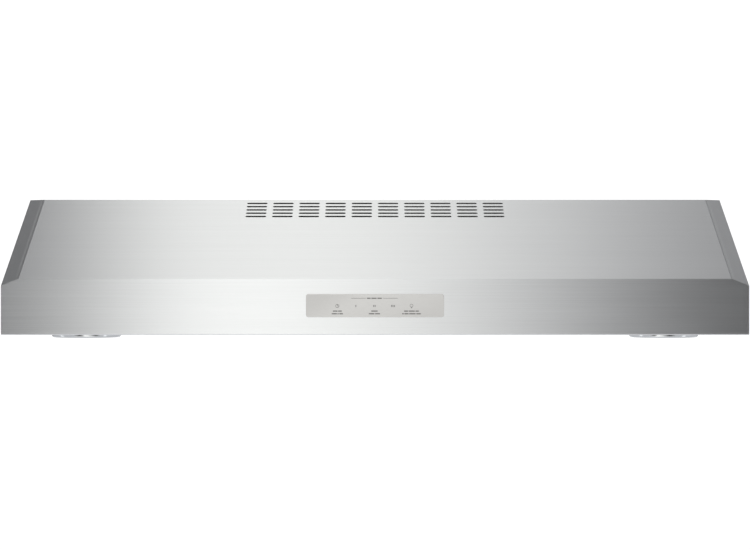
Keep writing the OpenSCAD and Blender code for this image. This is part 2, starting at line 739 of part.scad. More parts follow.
module motor_can() color([0.3, 0.31, 0.33]) difference() {
    on_shaft(-can_end) cylinder(r = motor_r, h = 2 * can_end - 3);
    on_shaft(3 - can_end) cylinder(r = motor_r - 2, h = 99);
    on_shaft(-99) cylinder(r = bearing_r, h = 99);
    for (a = [0 : 30 : 330], x = [-16, 8]) translate([x, blower_y, blower_z]) rotate([a, 0, 0])
        block([0, motor_r - 9, -2], [14, motor_r + 9, 2]);
    for (a = plate_bolts) hole_x(bolt_at(-can_end, a), 1.6);
}

module motor_end_cap() color([0.3, 0.31, 0.33]) difference() {
    on_shaft(can_end - 3) cylinder(r = motor_r, h = 3);
    on_shaft(0) cylinder(r = bearing_r, h = 99);
    for (a = plate_bolts) hole_x(bolt_at(can_end, a), 1.6);
}

module motor_bearings() color([0.7, 0.6, 0.4]) for (s = [0, 1]) mirror([s, 0, 0]) difference() {
    union() {
        on_shaft(can_end - 3) cylinder(r = bearing_r - 0.02, h = 3);
        on_shaft(can_end - 9) cylinder(r = bearing_r + 3, h = 6);
    }
    on_shaft(0) cylinder(r = shaft_r + 0.05, h = 99);
}

module motor_stator() difference() {
    union() {
        color([0.5, 0.5, 0.52]) on_shaft(-15) cylinder(r = motor_r - 2, h = 30);
        color([0.72, 0.42, 0.2]) on_shaft(-24) cylinder(r = motor_r - 6, h = 48);
    }
    on_shaft(-99) cylinder(r = 20, h = 198);
}

module motor_rotor() color([0.55, 0.55, 0.57]) difference() {
    union() {
        on_shaft(-15) cylinder(r = 19.4, h = 30);
        on_shaft(-20) cylinder(r = 17, h = 40);
    }
    on_shaft(-99) cylinder(r = shaft_r + 0.01, h = 198);
}

module motor_shaft() color([0.8, 0.8, 0.82]) on_shaft(-64) cylinder(r = shaft_r, h = 128);

module impeller() color(aluminium) difference() {
    union() {
        on_shaft(wheel_in) cylinder(r = wheel_r, h = 1.2);
        on_shaft(wheel_in) cylinder(r = 9, h = 16);
        for (x = [wheel_in, wheel_out - 4]) difference() {
            on_shaft(x) cylinder(r = wheel_r, h = 4);
            on_shaft(x - 1) cylinder(r = wheel_r - 2.2, h = 99);
        }
        for (i = [0 : blades - 1]) translate([0, blower_y, blower_z]) rotate([i * 360 / blades, 0, 0])
            translate([wheel_in, wheel_r - 7, 0]) rotate([20, 0, 0])
                cube([wheel_out - wheel_in, 6.4, 0.8]);
    }
    on_shaft(0) cylinder(r = shaft_r + 0.01, h = 99);
}

module impeller_right() impeller();
module impeller_left() mirror([1, 0, 0]) impeller();

// Filters

// Frame of a filter: s is 1 on the right and -1 on the left, and x starts at its inner side
module at_filter(s) mirror([s > 0 ? 0 : 1, 0, 0]) translate([filter_x0, 0, 0]) children();

latch_mid = filter_w / 2;

module filter_frame() color(aluminium) {
    difference() {
        block([0, filter_front, filter_z], [filter_w, filter_back, filter_z + filter_t]);
        block([frame_w, filter_front + frame_w + 17, filter_z - 9],
              [filter_w - frame_w, filter_back - frame_w, 0]);
        mesh_space(0);
        latch_pocket();
    }
    for (x = [lug_in, filter_w - lug_in - lug_w]) hinge_lug(x, x < latch_mid ? 1 : -1);
}

module mesh_space(d) block([frame_t + d, filter_front + 22 + d, filter_z + frame_t + d],
    [filter_w - frame_t - d, filter_back - frame_t - d, filter_z + filter_t - frame_t - d]);

// Room for the latch to slide, its tongue to pass and its spring
module latch_pocket() {
    block([latch_mid - latch_w / 2 - 0.4, filter_front + frame_t, filter_z - 9],
          [latch_mid + latch_w / 2 + 0.4, filter_front + 20, filter_z + filter_t - frame_t]);
    block([latch_mid - tongue_w / 2 - 0.4, filter_front - 9, latch_z - 0.4],
          [latch_mid + tongue_w / 2 + 0.4, filter_front + 9, latch_z + latch_t + 0.4]);
}

module hinge_lug(x, s) {
    block([x, filter_back - 0.5, hinge_z - 3], [x + lug_w, hinge_y, hinge_z + 3]);
    translate([x, hinge_y, hinge_z]) rotate([0, 90, 0]) cylinder(r = 3, h = lug_w);
    translate([s > 0 ? x : x + lug_w - pin_len, hinge_y, hinge_z])
        rotate([0, 90, 0]) cylinder(r = pin_r, h = pin_len);
}

// A lower and an upper layer of expanded sheet
module filter_mesh() color([0.7, 0.71, 0.72]) difference() {
    mesh_space(0.15);
    block([-1, -far, filter_z + frame_t + 0.15 + mesh_t],
          [far, far, filter_z + filter_t - frame_t - 0.15 - mesh_t]);
}

module filter_latch() color(plastic) {
    block([latch_mid - latch_w / 2, filter_front + frame_t + 0.3, latch_z],
          [latch_mid + latch_w / 2, filter_front + frame_t + 0.3 + 10, latch_z + latch_t]);
    block([latch_mid - tongue_w / 2, filter_front - tongue_out, latch_z],
          [latch_mid + tongue_w / 2, filter_front + frame_t + 1, latch_z + latch_t]);
    difference() {
        block([latch_mid - 12, filter_front + 3, filter_z - 2.2],
              [latch_mid + 12, filter_front + 11, latch_z + eps]);
        block([latch_mid - 9, filter_front + 5, filter_z - 9],
              [latch_mid + 9, filter_front + 9, filter_z + 0.2]);
    }
}

// A waved leaf spring between the latch and the pocket's rear wall
module latch_spring() color([0.75, 0.76, 0.78])
    translate([latch_mid, 0, latch_z + 0.2]) linear_extrude(2) polygon(section(
        [for (i = [0 : 8]) [(i - 4) * 3.6, filter_front + (i % 2 == 0 ? 19.3 : 12.3)]], 0.4, 0.3));

module filter_frame_left() at_filter(-1) filter_frame();
module filter_frame_right() at_filter(1) filter_frame();
module filter_mesh_left() at_filter(-1) filter_mesh();
module filter_mesh_right() at_filter(1) filter_mesh();
module filter_latch_left() at_filter(-1) filter_latch();
module filter_latch_right() at_filter(1) filter_latch();
module latch_spring_left() at_filter(-1) latch_spring();
module latch_spring_right() at_filter(1) latch_spring();

// Fasteners

// A pan head screw whose head stands on z = 0, with its shank below
module screw(len, head = 3.6, high = 2.2) {
    difference() {
        union() {
            cylinder(r = head, h = high * 0.6);
            translate([0, 0, high * 0.6]) cylinder(r1 = head, r2 = head * 0.6, h = high * 0.4);
        }
        for (a = [0, 90]) rotate(a) translate([-head * 0.5, -0.35, high - 1]) cube([head, 0.7, 2]);
    }
    translate([0, 0, -len]) cylinder(r = 1.5, h = len + eps);
}

// A countersunk screw whose head is flush with z = 0
module flush_screw(len) difference() {
    union() {
        translate([0, 0, -0.95]) cylinder(r1 = 1.4, r2 = 3.1, h = 0.92);
        translate([0, 0, -len]) cylinder(r = 1.1, h = len - 0.5);
    }
    for (a = [0, 90]) rotate(a) translate([-1.6, -0.3, -0.6]) cube([3.2, 0.6, 2]);
}

module pan_screw(x, y)
    translate([x, y, -hood_h]) rotate([180, 0, 0]) screw(len = 5, high = 1.8);

module shell_screws() color([0.84, 0.85, 0.86]) {
    for (p = side_bolts_top) translate(p) flush_screw(5);
    for (x = back_screw_x) pan_screw(x, back_y - 7);
    for (y = pan_side_y, s = [-1, 1]) pan_screw(s * (half_w - 7), y);
}

module blower_screws() color(galvanized) {
    for (s = [0, 1]) mirror([s, 0, 0]) {
        for (p = side_bolts)
            translate([blower_w / 2, blower_y + p[0], blower_z + p[1]]) rotate([0, 90, 0]) screw(len = 1);
        for (a = plate_bolts) translate(bolt_at(plate_x + plate_t, a)) rotate([0, 90, 0]) screw(len = 4);
    }
}

module cover_screws() color(galvanized) {
    for (p = cover_bolts) translate(p) flush_screw(4);
    for (p = duct_screws) translate([p[0], back_y, rear_duct_z + p[1]]) rotate([-90, 0, 0]) flush_screw(4);
}

module box_screws() color(galvanized) {
    for (p = driver_bolts) translate(p) flush_screw(8);
    for (p = concat(box_bolts, tray_bolts)) translate(p) flush_screw(4);
}

front_panel();
side_panel_left();
side_panel_right();
top_panel();
back_panel();
bottom_pan();
filter_centre_rail();
filter_hinge_brackets();
top_duct_cover();
rear_duct_cover();
knockout_plug();
wiring_box();
wiring_box_cover();
terminal_block();
control_board_tray();
control_board();
led_driver();
motor_capacitor();
wire_harness();
control_glass();
control_housing();
touch_sensor_board();
lamp_ring_left();
lamp_ring_right();
lamp_lens_left();
lamp_lens_right();
lamp_board_left();
lamp_board_right();
lamp_heatsink_left();
lamp_heatsink_right();
lamp_clips();
blower_scroll();
blower_side_left();
blower_side_right();
motor_plate_left();
motor_plate_right();
discharge_duct();
duct_gasket();
motor_can();
motor_end_cap();
motor_stator();
motor_bearings();
motor_shaft();
motor_rotor();
impeller_left();
impeller_right();
filter_frame_left();
filter_frame_right();
filter_mesh_left();
filter_mesh_right();
filter_latch_left();
filter_latch_right();
latch_spring_left();
latch_spring_right();
shell_screws();
blower_screws();
cover_screws();
box_screws();
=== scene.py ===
import json
import math

import bmesh
import bpy
from mathutils import Matrix, Vector


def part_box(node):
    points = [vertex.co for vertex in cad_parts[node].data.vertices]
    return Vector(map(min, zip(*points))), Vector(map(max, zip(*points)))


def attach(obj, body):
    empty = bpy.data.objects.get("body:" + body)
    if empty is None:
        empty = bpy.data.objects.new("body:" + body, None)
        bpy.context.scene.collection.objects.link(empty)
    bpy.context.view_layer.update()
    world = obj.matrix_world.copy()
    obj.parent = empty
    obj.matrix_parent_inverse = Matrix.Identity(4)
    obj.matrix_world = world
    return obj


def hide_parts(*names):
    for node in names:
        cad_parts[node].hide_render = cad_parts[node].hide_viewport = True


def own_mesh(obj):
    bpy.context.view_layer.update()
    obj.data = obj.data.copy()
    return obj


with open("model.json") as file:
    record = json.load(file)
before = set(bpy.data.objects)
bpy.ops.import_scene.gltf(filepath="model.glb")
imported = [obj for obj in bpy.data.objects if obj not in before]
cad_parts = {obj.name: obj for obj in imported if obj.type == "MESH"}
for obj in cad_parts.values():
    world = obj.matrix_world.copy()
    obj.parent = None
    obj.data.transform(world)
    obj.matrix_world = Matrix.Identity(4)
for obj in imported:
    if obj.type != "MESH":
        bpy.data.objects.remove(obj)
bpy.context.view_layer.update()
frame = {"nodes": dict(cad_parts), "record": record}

MM = 0.001
SIDES = ("left", "right")
NODES = frame["nodes"]
BODY_OF = {node: body for body, nodes in frame["record"]["behaviour"]["bodies"].items() for node in nodes}
SLOT_OF = {part["node"]: part["material_slot"] for part in frame["record"]["subparts"]}


# Camera: level, in front of the middle of the hood

# In metres, from the apron's face and from its bottom edge
CAMERA_AWAY = 2.552
CAMERA_UP = 0.0609
# In millimetres
CAMERA_LENS = 120.8
CAMERA_SENSOR = 36


def make_camera():
    low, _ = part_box("front_panel")
    data = bpy.data.cameras.new("camera")
    data.sensor_width = CAMERA_SENSOR
    data.lens = CAMERA_LENS
    camera = bpy.data.objects.new("camera", data)
    camera.location = (0, low.y - CAMERA_AWAY, low.z + CAMERA_UP)
    camera.rotation_euler = (math.radians(90), 0, 0)
    bpy.context.scene.collection.objects.link(camera)
    bpy.context.scene.camera = camera


make_camera()
bpy.context.scene.view_settings.view_transform = "Standard"


# Studio

# Brightness of the light tent along x, in metres: (place, brightness) in front of the hood,
# over and behind it, and low down in front
TENT_FRONT = [(-1.1, 0.42), (-0.9, 0.34), (-0.76, 0.1), (-0.6, 0.11), (-0.42, 0.71), (-0.34, 1.2),
              (-0.24, 1.38), (-0.12, 1.24), (0, 1.05), (0.12, 0.90), (0.2, 0.7), (0.36, 0.38),
              (0.52, 0.08), (0.78, 0.05), (0.92, 0.34), (1.1, 0.42)]
TENT_REAR = [(-1.1, 0.105), (-0.9, 0.107), (-0.56, 0.33), (-0.36, 0.96), (-0.2, 1.09),
             (0, 1.04), (0.2, 0.82), (0.36, 0.62), (0.56, 0.38), (0.9, 0.3), (1.1, 0.3)]
TENT_LOW = [(-1.1, 0.8), (-0.6, 0.8), (-0.42, 0.82), (-0.34, 1.25), (-0.24, 1.4), (-0.12, 1.38),
            (0, 1.3), (0.12, 1.22), (0.2, 1.1), (0.36, 0.85), (0.52, 0.6), (1.1, 0.7)]
# In metres: the tent's radius, and half its length along x
TENT_RADIUS = 1.5
TENT_HALF = 1.1
# In degrees up from the front: where the tent starts and ends, its facets, and where one row of
# brightness blends into the next
TENT_FROM = -60
TENT_TO = 150
TENT_FACET = 6
LOW_TO_FRONT = (-54, -38)
FRONT_TO_REAR = (40, 110)
# The brightness that a full colour stands for, as a ramp's colours go up to 1
TENT_BRIGHTEST = 1.4
# Blue against red and green where the tent is dark, and how much less it is at a brightness of 1
TENT_BLUE = 1.03
TENT_WARMTH = 0.055

# The glints: how far round the lamp rings each shows and between which tilts of the rim, in
# degrees, then their distance and width in metres
GLINTS = {"glint_left": -42, "glint_right": 34}
GLINT_TILTS = (60, 75)
GLINT_AWAY = 5
GLINT_WIDTH = 0.9
GLINT_RADIANCE = 0.6

# What the camera and dull surfaces see of the world, and what metal mirrors: a base brightness,
# and glows as (axis, where it starts and is full on a unit sphere, how much it adds)
WORLD_WHITE = 1.12
ROOM_COLOUR = (0.955, 0.97, 1, 1)
ROOM_BASE = 0.15
ROOM_GLOWS = [("X", 0.9, 1.0, 0.55), ("X", -0.9, -1.0, 0.5), ("Y", 0.83, 0.99, 0.3),
              ("Z", -0.05, -0.3, 0.55), ("Z", -0.75, -0.9, 0.1), ("Z", 0.9, 1.0, 0.3)]


class Nodes:
    """Short calls that add a node to a tree and link it."""

    def __init__(self, tree):
        self.tree = tree

    def add(self, kind, **sockets):
        node = self.tree.nodes.new("ShaderNode" + kind)
        for name, value in sockets.items():
            self.put(node, name.replace("_", " "), value)
        return node

    def put(self, node, socket, value):
        if isinstance(value, bpy.types.NodeSocket):
            self.tree.links.new(value, node.inputs[socket])
        else:
            node.inputs[socket].default_value = value

    def math(self, operation, a, b):
        node = self.add("Math")
        node.operation = operation
        self.put(node, 0, a)
        self.put(node, 1, b)
        return node.outputs[0]

    def ramp(self, value, low, high, bottom=0.0, top=1.0, kind="SMOOTHSTEP"):
        node = self.add("MapRange", Value=value, From_Min=low, From_Max=high, To_Min=bottom, To_Max=top)
        node.interpolation_type = kind
        return node.outputs[0]

    def mix(self, factor, a, b, blend="MIX"):
        """Two colours mixed."""
        node = self.add("Mix", Factor=factor)
        node.data_type = "RGBA"
        node.blend_type = blend
        self.put(node, "A", a)
        self.put(node, "B", b)
        return node.outputs["Result"]

    def grey(self, shade):
        return self.add("CombineColor", Red=shade, Green=shade, Blue=shade).outputs[0]


def brightness_along(nodes, x, stops):
    """A grey ramp over x, through the given stops."""
    node = nodes.add("ValToRGB", Fac=nodes.ramp(x, -TENT_HALF, TENT_HALF, kind="LINEAR"))
    ramp = node.color_ramp
    ramp.interpolation = "CARDINAL"
    for i, (place, value) in enumerate(stops):
        position = (place + TENT_HALF) / (2 * TENT_HALF)
        stop = ramp.elements[i] if i < 2 else ramp.elements.new(position)
        stop.position = position
        grey = value / TENT_BRIGHTEST
        stop.color = (grey, grey, grey * (TENT_BLUE - TENT_WARMTH * min(value, 1)), 1)
    return node.outputs[0]


def make_tent():
    """A light tent curved over the hood from front to back, whose brightness the brushed steel mirrors."""
    low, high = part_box("front_panel")
    mesh = bmesh.new()
    rows = []
    for degrees in range(TENT_FROM, TENT_TO + 1, TENT_FACET):
        angle = math.radians(degrees)
        y, z = -TENT_RADIUS * math.cos(angle), TENT_RADIUS * math.sin(angle)
        rows.append([mesh.verts.new((x, y, z)) for x in (-TENT_HALF, TENT_HALF)])
    for a, b in zip(rows, rows[1:]):
        mesh.faces.new((a[0], a[1], b[1], b[0]))
    tent = add_mesh("light_tent", mesh)
    tent.location = (0, (low.y + high.y) / 2, (low.z + high.z) / 2)

    material = bpy.data.materials.new("light_tent")
    material.use_nodes = True
    material.node_tree.nodes.clear()
    nodes = Nodes(material.node_tree)
    place = nodes.add("TexCoord").outputs["Object"]
    split = nodes.add("SeparateXYZ", Vector=place)
    angle = nodes.math("ARCTAN2", split.outputs["Z"], nodes.math("MULTIPLY", split.outputs["Y"], -1.0))
    low_row, front_row, rear_row = (brightness_along(nodes, split.outputs["X"], stops)
                                    for stops in (TENT_LOW, TENT_FRONT, TENT_REAR))
    to_front, to_rear = (nodes.ramp(angle, math.radians(start), math.radians(end))
                         for start, end in (LOW_TO_FRONT, FRONT_TO_REAR))
    upper = nodes.mix(to_rear, front_row, rear_row)
    whole = nodes.mix(to_front, low_row, upper)
    glow = nodes.add("Emission", Color=whole, Strength=TENT_BRIGHTEST)
    nodes.add("OutputMaterial", Surface=glow.outputs[0])
    give(tent, material)
    tent.visible_camera = False
    tent.visible_diffuse = False
    tent.visible_shadow = False


def make_glints():
    """Two far strips low down at the sides, which only the lamp rings mirror, as bright spots."""
    rings = bpy.data.collections.new("lamp_rings")
    for side in SIDES:
        rings.objects.link(bpy.data.objects[f"lamp_bezel_{side}"])
    low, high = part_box("lamp_ring_right")
    target = Vector((0, (low.y + high.y) / 2, low.z))
    for name, turn in GLINTS.items():
        near, far = (mirrored(turn, tilt) * GLINT_AWAY for tilt in GLINT_TILTS)
        data = bpy.data.lights.new(name, "AREA")
        data.shape = "RECTANGLE"
        data.size = GLINT_WIDTH
        data.size_y = (far - near).length
        data.energy = GLINT_RADIANCE * math.pi * data.size * data.size_y
        glint = bpy.data.objects.new(name, data)
        glint.location = target + (near + far) / 2
        back = (near + far).normalized()
        along = (far - near).normalized()
        across = along.cross(back)
        glint.rotation_euler = Matrix((across, along, back)).transposed().to_euler()
        glint.visible_camera = False
        glint.visible_diffuse = False
        glint.light_linking.receiver_collection = rings
        bpy.context.scene.collection.objects.link(glint)


def mirrored(turn, tilt):
    """Where a level look from the front goes off a face, tilted from facing down, then turned about Z."""
    turn, tilt = math.radians(turn), math.radians(tilt)
    normal = Vector((math.sin(turn) * math.sin(tilt), -math.cos(turn) * math.sin(tilt), -math.cos(tilt)))
    look = Vector((0, 1, 0))
    return look - 2 * look.dot(normal) * normal


def make_world():
    """White to look at; metal mirrors a dim room, lighter at the sides, behind, below and overhead."""
    world = bpy.data.worlds.new("studio")
    bpy.context.scene.world = world
    world.use_nodes = True
    world.node_tree.nodes.clear()
    nodes = Nodes(world.node_tree)
    split = nodes.add("SeparateXYZ", Vector=nodes.add("TexCoord").outputs["Generated"])
    room = ROOM_BASE
    for axis, start, end, amount in ROOM_GLOWS:
        room = nodes.math("ADD", nodes.ramp(split.outputs[axis], start, end, top=amount), room)
    dim = nodes.add("Background", Color=ROOM_COLOUR, Strength=room)
    white = nodes.add("Background", Color=(1, 1, 1, 1), Strength=WORLD_WHITE)
    mix = nodes.add("MixShader", Fac=nodes.add("LightPath").outputs["Is Glossy Ray"])
    nodes.put(mix, 1, white.outputs[0])
    nodes.put(mix, 2, dim.outputs[0])
    nodes.add("OutputWorld", Surface=mix.outputs[0])


# Materials

QUARTER_TURN = 0.25


class Shader(Nodes):
    """A principled material, with short calls for the nodes that feed it."""

    def __init__(self, name, colour, metallic=0.0, roughness=0.5, **more):
        self.material = bpy.data.materials.new(name)
        self.material.use_nodes = True
        super().__init__(self.material.node_tree)
        self.main = self.tree.nodes["Principled BSDF"]
        self.colour = colour
        sockets = {"Base Color": (*colour, 1), "Metallic": metallic, "Roughness": roughness}
        for socket, value in {**sockets, **more}.items():
            self.put(self.main, socket.replace("_", " "), value)
        self.place = self.add("TexCoord").outputs["Object"]

    def noise(self, scale, detail=3.0, rough=0.5):
        """Noise in cycles per metre along each axis."""
        spread = self.add("Mapping", Vector=self.place, Scale=scale)
        texture = self.add("TexNoise", Vector=spread.outputs[0], Scale=1, Detail=detail, Roughness=rough)
        return texture.outputs["Fac"]

    def cells(self, scale):
        """A random value for each cell, in cells per metre along each axis."""
        spread = self.add("Mapping", Vector=self.place, Scale=scale)
        cells = self.add("TexVoronoi", Vector=spread.outputs[0], Scale=1)
        return self.add("SeparateColor", Color=cells.outputs["Color"]).outputs[0]

    def mapped(self, value, low, high, start=0.0, end=1.0):
        """From low to high as the value goes from start to end."""
        return self.ramp(value, start, end, low, high, "LINEAR")

    def tint(self, *factors):
        """Multiplies the base colour by grey factors."""
        shade = factors[0]
        for factor in factors[1:]:
            shade = self.math("MULTIPLY", shade, factor)
        tinted = self.mix(1, (*self.colour, 1), self.grey(shade), "MULTIPLY")
        self.put(self.main, "Base Color", tinted)

    def rough(self, value, low, high, start=0.3, end=0.7):
        self.put(self.main, "Roughness", self.mapped(value, low, high, start, end))

    def bump(self, value, depth, distance):
        bump = self.add("Bump", Strength=depth, Distance=distance, Height=value)
        self.put(self.main, "Normal", bump.outputs[0])

    def grain_along(self, axis):
        """Lays the metal's grain along an axis, so that highlights spread across it."""
        direction = self.add("CombineXYZ")
        self.put(direction, axis, 1.0)
        self.put(self.main, "Tangent", direction.outputs[0])
        self.put(self.main, "Anisotropic Rotation", QUARTER_TURN)


STAINLESS = (0.80, 0.81, 0.82)
STAINLESS_ROUGH = 0.34
# Brush lines and broad drifts of tone, in cycles per metre across and along the grain
LINES_ACROSS, LINES_ALONG = 1400, 9
DRIFT_ACROSS, DRIFT_ALONG = 150, 1.2


def brushed(name, axis):
    """Stainless sheet with fine lines along one axis, 0 for x or 1 for y."""
    shader = Shader(name, STAINLESS, 1.0, STAINLESS_ROUGH, Anisotropic=0.8)
    fine, broad = [LINES_ACROSS] * 3, [DRIFT_ACROSS] * 3
    fine[axis], broad[axis] = LINES_ALONG, DRIFT_ALONG
    lines = shader.noise(fine, detail=2, rough=0.6)
    drift = shader.noise(broad, detail=2)
    shader.tint(shader.mapped(lines, 0.97, 1.03, 0.25, 0.75), shader.mapped(drift, 0.99, 1.01, 0.25, 0.75))
    shader.rough(lines, STAINLESS_ROUGH - 0.03, STAINLESS_ROUGH + 0.03)
    shader.bump(lines, depth=0.12, distance=0.02 * MM)
    shader.grain_along(axis)
    return shader.material


# How far a face has to look down and forward to be a slot's cut face, painted with shade, as parts of its
# normal
LOOKS_DOWN = (-0.15, -0.3)
LOOKS_FORWARD = (-0.4, -0.6)
# Over this height the painted shade on the slots' cut faces fades in, and along this stretch of x its grey
# changes
SLOT_SHADE_FADE = 10 * MM
SLOT_SHADE_CHANGE = (-10 * MM, 30 * MM)
SLOT_SHADE_GREYS = (0.07, 0.42)


def slotted(name):
    """The front sheet: brushed, with painted shade on the cut faces of its slots where they face down and
    forward.

    The painted shade is darker on the left than on the right.
    """
    material = brushed(name, 0)
    nodes = Nodes(material.node_tree)
    main = material.node_tree.nodes["Principled BSDF"]
    low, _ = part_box("front_panel")
    half_way_up = low.z / 2
    normal = nodes.add("SeparateXYZ", Vector=nodes.add("NewGeometry").outputs["Normal"])
    place = nodes.add("SeparateXYZ", Vector=nodes.add("TexCoord").outputs["Object"])
    # Painted shade: the slots' cut faces in the upper half are greyed, near black on the left to grey on
    # the right
    edge = nodes.ramp(place.outputs["Z"], half_way_up - SLOT_SHADE_FADE, half_way_up)
    edge = nodes.math("MULTIPLY", edge, nodes.ramp(normal.outputs["Z"], *LOOKS_DOWN))
    edge = nodes.math("MULTIPLY", edge, nodes.ramp(normal.outputs["Y"], *LOOKS_FORWARD))
    shade = nodes.ramp(place.outputs["X"], *SLOT_SHADE_CHANGE, *SLOT_SHADE_GREYS)
    steel = main.inputs["Base Color"].links[0].from_socket
    nodes.put(main, "Base Color", nodes.mix(edge, steel, nodes.grey(shade)))
    return material


def galvanized(name, colour=(0.62, 0.64, 0.66)):
    """Zinc coated sheet with a faint spangle."""
    shader = Shader(name, colour, 0.9, 0.42)
    spangle = shader.cells((110, 110, 110))
    clouds = shader.noise((30, 30, 30))
    shader.tint(shader.mapped(spangle, 0.92, 1.06), shader.mapped(clouds, 0.94, 1.05, 0.3, 0.7))
    shader.rough(spangle, 0.36, 0.5, 0, 1)
    shader.bump(shader.noise((700, 700, 700)), depth=0.1, distance=0.1 * MM)
    return shader.material


def moulded(name, colour, roughness=0.5, grain=1500, depth=0.15):
    """Plastic or rubber with a fine moulded texture, its grain in cycles per metre."""
    shader = Shader(name, colour, 0.0, roughness)
    texture = shader.noise((grain, grain, grain))
    clouds = shader.noise((25, 25, 25))
    shader.tint(shader.mapped(clouds, 0.9, 1.1, 0.3, 0.7))
    shader.rough(texture, roughness - 0.06, roughness + 0.06)
    shader.bump(texture, depth, distance=0.1 * MM)
    return shader.material


def metal(name, colour, roughness, grain=(900, 900, 900)):
    """Cast, drawn or plated metal, its grain in cycles per metre."""
    shader = Shader(name, colour, 1.0, roughness)
    texture = shader.noise(grain)
    clouds = shader.noise((40, 40, 40))
    shader.tint(shader.mapped(clouds, 0.94, 1.05, 0.3, 0.7))
    shader.rough(texture, roughness - 0.05, roughness + 0.05)
    shader.bump(texture, depth=0.1, distance=0.05 * MM)
    return shader.material


def circuit_board(name, colour):
    """Solder resist over a pattern of tracks."""
    shader = Shader(name, colour, 0.0, 0.3)
    tracks = shader.cells((400, 400, 40))
    shader.tint(shader.mapped(tracks, 0.75, 1.25))
    shader.bump(tracks, depth=0.2, distance=0.05 * MM)
    return shader.material


def printed_glass(name, colour):
    """Grey glass with its colour printed behind."""
    shader = Shader(name, colour, 0.0, 0.12, Coat_Weight=0.4, Coat_Roughness=0.05)
    haze = shader.noise((60, 60, 60))
    shader.tint(shader.mapped(haze, 0.99, 1.01, 0.3, 0.7))
    shader.rough(haze, 0.1, 0.14)
    return shader.material


def laminated(name, colour):
    """Thin laminations stacked along the motor's axis."""
    shader = Shader(name, colour, 0.9, 0.5)
    layers = shader.noise((2000, 3, 3))
    shader.tint(shader.mapped(layers, 0.7, 1.15, 0.3, 0.7))
    shader.bump(layers, depth=0.4, distance=0.2 * MM)
    return shader.material


MATERIALS = {
    "stainless": brushed("stainless", 0),
    "stainless_side": brushed("stainless_side", 1),
    "stainless_painted_slot_shade": slotted("stainless_painted_slot_shade"),
    "galvanized": galvanized("galvanized"),
    # The duct and scroll: galvanized sheet painted near black, as painted shade for their insides seen
    # through the slots
    "galvanized_painted_shade": galvanized("galvanized_painted_shade", (0.05, 0.051, 0.053)),
    "block_nylon": moulded("block_nylon", (0.72, 0.7, 0.62)),
    "circuit_board": circuit_board("circuit_board", (0.03, 0.16, 0.07)),
    "lamp_circuit_board": circuit_board("lamp_circuit_board", (0.8, 0.8, 0.78)),
    "black_plastic": moulded("black_plastic", (0.025, 0.025, 0.028)),
    "capacitor_can": metal("capacitor_can", (0.72, 0.73, 0.74), 0.3, (60, 60, 1500)),
    "wire_insulation": moulded("wire_insulation", (0.03, 0.03, 0.033), 0.4),
    "foam_gasket": moulded("foam_gasket", (0.03, 0.03, 0.03), 0.9, 900, 0.8),
    "control_glass": printed_glass("control_glass", (0.55, 0.543, 0.525)),
    "glass_print": moulded("glass_print", (0.17, 0.165, 0.16), 0.5, 3000, 0.05),
    "satin_chrome": metal("satin_chrome", (0.7, 0.71, 0.72), 0.14),
    "frosted_lens": moulded("frosted_lens", (0.86, 0.87, 0.86), 0.35, 2500, 0.1),
    "cast_aluminium": metal("cast_aluminium", (0.66, 0.67, 0.68), 0.4),
    "motor_paint": moulded("motor_paint", (0.05, 0.05, 0.055), 0.32, 1200, 0.1),
    "motor_core": laminated("motor_core", (0.3, 0.3, 0.31)),
    "bearing_bronze": metal("bearing_bronze", (0.5, 0.35, 0.17), 0.35),
    "bright_steel": metal("bright_steel", (0.7, 0.71, 0.72), 0.22),
    "wheel_aluminium": metal("wheel_aluminium", (0.72, 0.73, 0.74), 0.35),
    "filter_aluminium": metal("filter_aluminium", (0.72, 0.73, 0.74), 0.33, (20, 900, 900)),
    "filter_mesh": metal("filter_mesh", (0.68, 0.69, 0.7), 0.38),
    "screw_zinc": metal("screw_zinc", (0.66, 0.66, 0.63), 0.28),
}


# Meshes

# Points closer than this, in metres, are one
SAME_POINT = 1e-6


def give(piece, material):
    piece.data.materials.clear()
    piece.data.materials.append(material)


def add_mesh(name, mesh, crease=35):
    """An object from a bmesh, smooth but for edges sharper than crease degrees."""
    bmesh.ops.remove_doubles(mesh, verts=mesh.verts, dist=SAME_POINT)
    bmesh.ops.recalc_face_normals(mesh, faces=mesh.faces)
    for face in mesh.faces:
        face.smooth = True
    data = bpy.data.meshes.new(name)
    mesh.to_mesh(data)
    mesh.free()
    data.set_sharp_from_angle(angle=math.radians(crease))
    thing = bpy.data.objects.new(name, data)
    bpy.context.scene.collection.objects.link(thing)
    return thing


def stand_for(piece, node):
    """Puts a finer piece in a CAD node's place, on the same body."""
    give(piece, MATERIALS[SLOT_OF[node]])
    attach(piece, BODY_OF[node])
    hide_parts(node)


def loop_faces(mesh, a, b):
    """Joins two closed loops of as many points."""
    for i in range(len(a)):
        j = (i + 1) % len(a)
        mesh.faces.new((a[i], a[j], b[j], b[i]))


def join_round(mesh, rings):
    """Joins each closed loop to the next, and the last to the first."""
    for ring, following in zip(rings, rings[1:] + rings[:1]):
        loop_faces(mesh, ring, following)


def lathe(mesh, outline, centre, steps=96):
    """Turns a closed (radius, z) outline about an upright axis through centre."""
    rings = []
    for i in range(steps):
        angle = math.tau * i / steps
        rings.append([mesh.verts.new((centre.x + r * math.cos(angle), centre.y + r * math.sin(angle), z))
                      for r, z in outline])
    join_round(mesh, rings)
    return rings


def radius_of(vertex, centre):
    return math.hypot(vertex.co.x - centre.x, vertex.co.y - centre.y)


def quarter(centre, wide, high, start, steps=8):
    """Points of a quarter ellipse, anticlockwise from the start angle in degrees."""
    points = []
    for i in range(steps + 1):
        angle = math.radians(start + 90 * i / steps)
        points.append((centre[0] + wide * math.cos(angle), centre[1] + high * math.sin(angle)))
    return points


